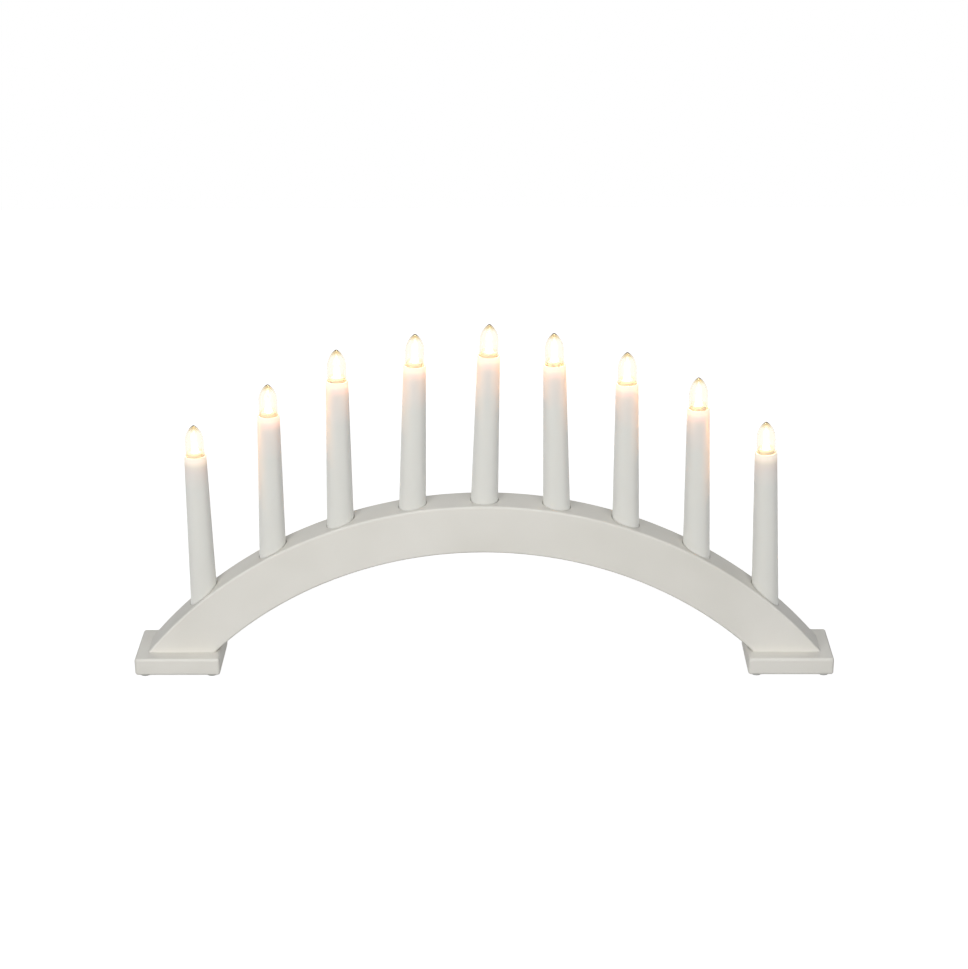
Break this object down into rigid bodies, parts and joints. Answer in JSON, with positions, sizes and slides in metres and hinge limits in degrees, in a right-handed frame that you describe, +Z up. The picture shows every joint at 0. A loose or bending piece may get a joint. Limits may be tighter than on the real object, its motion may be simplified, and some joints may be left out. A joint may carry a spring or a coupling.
{
  "type": "electric candle arch",
  "caption": "White painted arch on two plinths with upright electric candles along its top, each a tapered tube with a small pointed screw-in bulb.",
  "frame": {"origin": "on the table, under the middle of the arch, at the bottom centre of the box round the whole object", "axes": "+X along the arch towards its right foot, +Y towards the back, +Z up"},
  "size_m": [0.5396, 0.052, 0.2795],
  "materials": {
    "painted_board": "board with smooth matt white paint",
    "candle_plastic": "white translucent plastic with a low sheen",
    "bulb_lens": "clear moulded lens, lit warm white",
    "bulb_cap_metal": "nickel-plated screw cap",
    "lampholder_plastic": "moulded white plastic",
    "pad_rubber": "soft light grey pad",
    "screw_steel": "zinc-plated wood screw",
    "wire_insulation": "white wire insulation",
    "grommet_plastic": "soft white plastic"
  },
  "bodies": {
    "stand": {"arch": "painted_board", "wire_cover": "painted_board", "wire_harness": "wire_insulation", "cable_grommet": "grommet_plastic", "cover_screw_1": "screw_steel", "cover_screw_2": "screw_steel", "cover_screw_3": "screw_steel", "cover_screw_4": "screw_steel", "cover_screw_5": "screw_steel", "plinth_left": "painted_board", "plinth_screw_left_1": "screw_steel", "plinth_screw_left_2": "screw_steel", "pad_left_1": "pad_rubber", "pad_left_2": "pad_rubber", "pad_left_3": "pad_rubber", "pad_left_4": "pad_rubber", "plinth_right": "painted_board", "plinth_screw_right_1": "screw_steel", "plinth_screw_right_2": "screw_steel", "pad_right_1": "pad_rubber", "pad_right_2": "pad_rubber", "pad_right_3": "pad_rubber", "pad_right_4": "pad_rubber", "candle_tube_1": "candle_plastic", "lampholder_1": "lampholder_plastic", "candle_tube_2": "candle_plastic", "lampholder_2": "lampholder_plastic", "candle_tube_3": "candle_plastic", "lampholder_3": "lampholder_plastic", "candle_tube_4": "candle_plastic", "lampholder_4": "lampholder_plastic", "candle_tube_5": "candle_plastic", "lampholder_5": "lampholder_plastic", "candle_tube_6": "candle_plastic", "lampholder_6": "lampholder_plastic", "candle_tube_7": "candle_plastic", "lampholder_7": "lampholder_plastic", "candle_tube_8": "candle_plastic", "lampholder_8": "lampholder_plastic", "candle_tube_9": "candle_plastic", "lampholder_9": "lampholder_plastic"},
    "bulb_cap_1": {"bulb_cap_1": "bulb_cap_metal"},
    "bulb_lens_1": {"bulb_lens_1": "bulb_lens"},
    "bulb_cap_2": {"bulb_cap_2": "bulb_cap_metal"},
    "bulb_lens_2": {"bulb_lens_2": "bulb_lens"},
    "bulb_cap_3": {"bulb_cap_3": "bulb_cap_metal"},
    "bulb_lens_3": {"bulb_lens_3": "bulb_lens"},
    "bulb_cap_4": {"bulb_cap_4": "bulb_cap_metal"},
    "bulb_lens_4": {"bulb_lens_4": "bulb_lens"},
    "bulb_cap_5": {"bulb_cap_5": "bulb_cap_metal"},
    "bulb_lens_5": {"bulb_lens_5": "bulb_lens"},
    "bulb_cap_6": {"bulb_cap_6": "bulb_cap_metal"},
    "bulb_lens_6": {"bulb_lens_6": "bulb_lens"},
    "bulb_cap_7": {"bulb_cap_7": "bulb_cap_metal"},
    "bulb_lens_7": {"bulb_lens_7": "bulb_lens"},
    "bulb_cap_8": {"bulb_cap_8": "bulb_cap_metal"},
    "bulb_lens_8": {"bulb_lens_8": "bulb_lens"},
    "bulb_cap_9": {"bulb_cap_9": "bulb_cap_metal"},
    "bulb_lens_9": {"bulb_lens_9": "bulb_lens"}
  },
  "joints": [
    {"name": "bulb_1_rise", "type": "slide", "parent": "stand", "child": "bulb_cap_1", "axis": [-0.0017, 0, 1], "range_m": [0, 0.00907]},
    {"name": "bulb_1_turn", "type": "hinge", "parent": "bulb_cap_1", "child": "bulb_lens_1", "pos_m": [-0.21665, 0, 0.17613], "axis": [-0.0017, 0, 1], "range_deg": [0, 1800]},
    {"name": "bulb_2_rise", "type": "slide", "parent": "stand", "child": "bulb_cap_2", "axis": [0.014, 0, 0.9999], "range_m": [0, 0.00907]},
    {"name": "bulb_2_turn", "type": "hinge", "parent": "bulb_cap_2", "child": "bulb_lens_2", "pos_m": [-0.16004, 0, 0.20862], "axis": [0.014, 0, 0.9999], "range_deg": [0, 1800]},
    {"name": "bulb_3_rise", "type": "slide", "parent": "stand", "child": "bulb_cap_3", "axis": [0.0087, 0, 1], "range_m": [0, 0.00907]},
    {"name": "bulb_3_turn", "type": "hinge", "parent": "bulb_cap_3", "child": "bulb_lens_3", "pos_m": [-0.10793, 0, 0.23582], "axis": [0.0087, 0, 1], "range_deg": [0, 1800]},
    {"name": "bulb_4_rise", "type": "slide", "parent": "stand", "child": "bulb_cap_4", "axis": [0.0314, 0, 0.9995], "range_m": [0, 0.00907]},
    {"name": "bulb_4_turn", "type": "hinge", "parent": "bulb_cap_4", "child": "bulb_lens_4", "pos_m": [-0.05012, 0, 0.24787], "axis": [0.0314, 0, 0.9995], "range_deg": [0, 1800]},
    {"name": "bulb_5_rise", "type": "slide", "parent": "stand", "child": "bulb_cap_5", "axis": [0.0314, 0, 0.9995], "range_m": [0, 0.00907]},
    {"name": "bulb_5_turn", "type": "hinge", "parent": "bulb_cap_5", "child": "bulb_lens_5", "pos_m": [0.00466, 0, 0.25534], "axis": [0.0314, 0, 0.9995], "range_deg": [0, 1800]},
    {"name": "bulb_6_rise", "type": "slide", "parent": "stand", "child": "bulb_cap_6", "axis": [-0.0209, 0, 0.9998], "range_m": [0, 0.00907]},
    {"name": "bulb_6_turn", "type": "hinge", "parent": "bulb_cap_6", "child": "bulb_lens_6", "pos_m": [0.05327, 0, 0.2483], "axis": [-0.0209, 0, 0.9998], "range_deg": [0, 1800]},
    {"name": "bulb_7_rise", "type": "slide", "parent": "stand", "child": "bulb_cap_7", "axis": [-0.0105, 0, 0.9999], "range_m": [0, 0.00907]},
    {"name": "bulb_7_turn", "type": "hinge", "parent": "bulb_cap_7", "child": "bulb_lens_7", "pos_m": [0.10721, 0, 0.23328], "axis": [-0.0105, 0, 0.9999], "range_deg": [0, 1800]},
    {"name": "bulb_8_rise", "type": "slide", "parent": "stand", "child": "bulb_cap_8", "axis": [-0.0192, 0, 0.9998], "range_m": [0, 0.00907]},
    {"name": "bulb_8_turn", "type": "hinge", "parent": "bulb_cap_8", "child": "bulb_lens_8", "pos_m": [0.16066, 0, 0.2133], "axis": [-0.0192, 0, 0.9998], "range_deg": [0, 1800]},
    {"name": "bulb_9_rise", "type": "slide", "parent": "stand", "child": "bulb_cap_9", "axis": [-0.0384, 0, 0.9993], "range_m": [0, 0.00907]},
    {"name": "bulb_9_turn", "type": "hinge", "parent": "bulb_cap_9", "child": "bulb_lens_9", "pos_m": [0.21256, 0, 0.17801], "axis": [-0.0384, 0, 0.9993], "range_deg": [0, 1800]}
  ],
  "couplings": [
    {"joint": "bulb_1_rise", "follows": "bulb_1_turn", "m_per_rad": 0.00028871},
    {"joint": "bulb_2_rise", "follows": "bulb_2_turn", "m_per_rad": 0.00028871},
    {"joint": "bulb_3_rise", "follows": "bulb_3_turn", "m_per_rad": 0.00028871},
    {"joint": "bulb_4_rise", "follows": "bulb_4_turn", "m_per_rad": 0.00028871},
    {"joint": "bulb_5_rise", "follows": "bulb_5_turn", "m_per_rad": 0.00028871},
    {"joint": "bulb_6_rise", "follows": "bulb_6_turn", "m_per_rad": 0.00028871},
    {"joint": "bulb_7_rise", "follows": "bulb_7_turn", "m_per_rad": 0.00028871},
    {"joint": "bulb_8_rise", "follows": "bulb_8_turn", "m_per_rad": 0.00028871},
    {"joint": "bulb_9_rise", "follows": "bulb_9_turn", "m_per_rad": 0.00028871}
  ]
}
